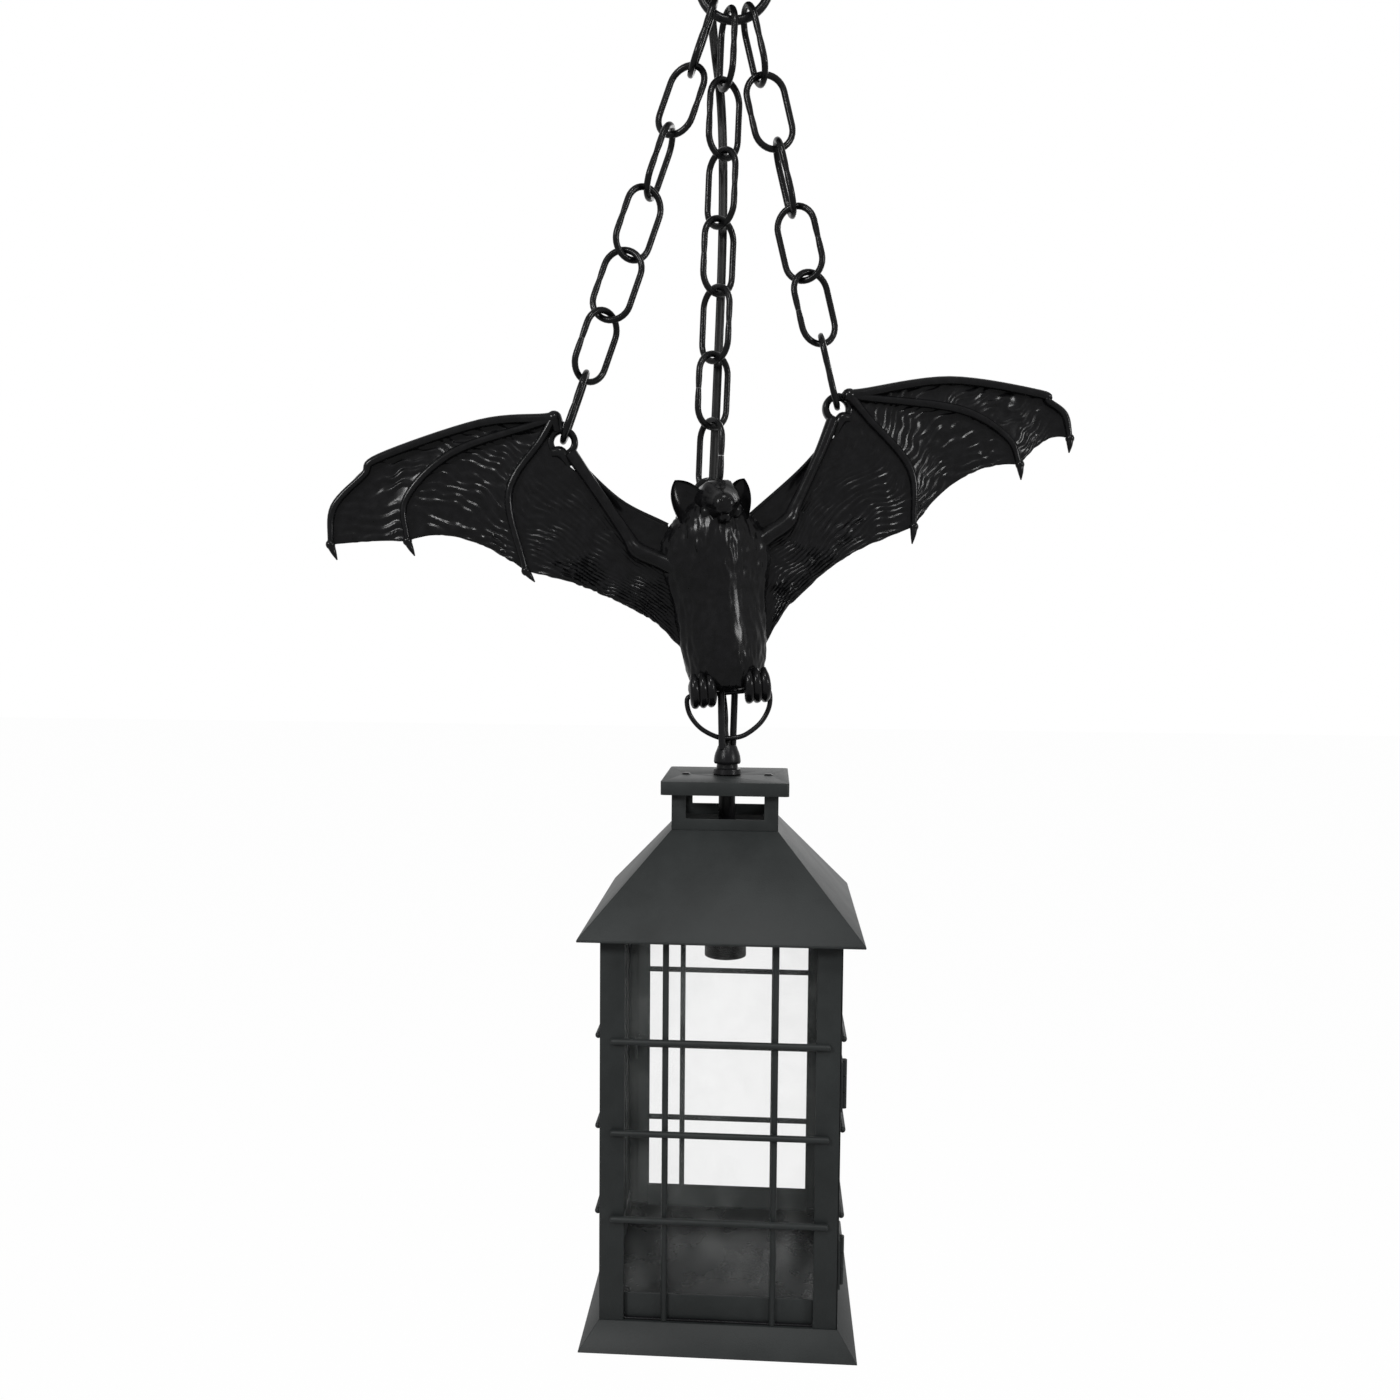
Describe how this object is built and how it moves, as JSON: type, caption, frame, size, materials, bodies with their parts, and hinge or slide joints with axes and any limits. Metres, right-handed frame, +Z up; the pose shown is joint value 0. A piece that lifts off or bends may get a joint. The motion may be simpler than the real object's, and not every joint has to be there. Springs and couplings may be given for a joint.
{
  "type": "hanging lantern",
  "caption": "Square sheet-metal pendant lantern with glazed sides and a hinged door, hung from the feet of a cast bat that hangs with spread wings on oval-link chains from a ceiling canopy.",
  "frame": {"origin": "middle of the canopy's rim, in the plane of the ceiling", "axes": "+Z up, out of the canopy and into the ceiling; +X to the right of the lantern's front; -Y is the front that the picture shows"},
  "size_m": [0.4283, 0.152, 0.8026],
  "materials": {
    "painted_steel": "satin",
    "black_hardware": "satin",
    "chain_wire": "gloss",
    "cast_bat": "satin",
    "plain_steel": "satin",
    "pane_glass": "clear",
    "socket_plastic": "matte",
    "contact_brass": "satin",
    "cord_jacket": "satin"
  },
  "bodies": {
    "canopy": {"canopy_dish": "painted_steel", "canopy_loop": "black_hardware", "loop_collar": "black_hardware", "canopy_nut": "plain_steel", "cord_bushing": "socket_plastic"},
    "suspension": {"chain_left": "chain_wire", "chain_right": "chain_wire", "chain_centre": "chain_wire", "bat_casting": "cast_bat", "foot_pin": "black_hardware", "cord_upper": "cord_jacket", "cord_back": "cord_jacket"},
    "ring": {"foot_ring": "black_hardware", "cord_entry": "cord_jacket"},
    "lantern": {"lantern_loop": "black_hardware", "loop_nut": "black_hardware", "threaded_pipe": "plain_steel", "pipe_nut": "plain_steel", "top_cap": "painted_steel", "vent_collar": "painted_steel", "cap_rivets": "painted_steel", "roof": "painted_steel", "soffit_plate": "painted_steel", "socket_cap": "socket_plastic", "socket_body": "socket_plastic", "screw_shell": "contact_brass", "centre_contact": "contact_brass", "front_panel": "painted_steel", "rear_panel": "painted_steel", "left_panel": "painted_steel", "front_bars": "painted_steel", "rear_bars": "painted_steel", "left_bars": "painted_steel", "front_glass": "pane_glass", "rear_glass": "pane_glass", "left_glass": "pane_glass", "front_clips": "painted_steel", "rear_clips": "painted_steel", "left_clips": "painted_steel", "floor_plate": "painted_steel", "base_skirt": "painted_steel", "hinge_body_leaves": "black_hardware", "hinge_pins": "black_hardware", "latch_pivot": "black_hardware", "cord_inner": "cord_jacket"},
    "door": {"door_frame": "painted_steel", "door_glass": "pane_glass", "door_bars": "painted_steel", "door_clips": "painted_steel", "hinge_door_leaves": "black_hardware", "door_knob": "black_hardware"},
    "latch": {"latch_button": "black_hardware"}
  },
  "joints": [
    {"name": "loop_swing", "type": "hinge", "parent": "canopy", "child": "suspension", "pos_m": [0, 0, -0.052], "axis": [0, 1, 0], "range_deg": [-12, 12], "deforming": ["cord_upper"]},
    {"name": "ring_swing", "type": "hinge", "parent": "suspension", "child": "ring", "pos_m": [0, 0, -0.449], "axis": [0.9841, 0.1471, 0.0993], "range_deg": [-15, 15], "deforming": ["cord_back"]},
    {"name": "lantern_rock", "type": "hinge", "parent": "ring", "child": "lantern", "pos_m": [0, 0, -0.449], "axis": [0.1478, -0.989, 0], "range_deg": [-8, 8], "deforming": ["cord_entry"]},
    {"name": "door_hinge", "type": "hinge", "parent": "lantern", "child": "door", "pos_m": [0.0666, -0.05825, -0.7045], "axis": [0, 0, -1], "range_deg": [0, 110]},
    {"name": "latch_turn", "type": "hinge", "parent": "lantern", "child": "latch", "pos_m": [0.0661, 0.06175, -0.6585], "axis": [-1, 0, 0], "range_deg": [0, 90]}
  ]
}
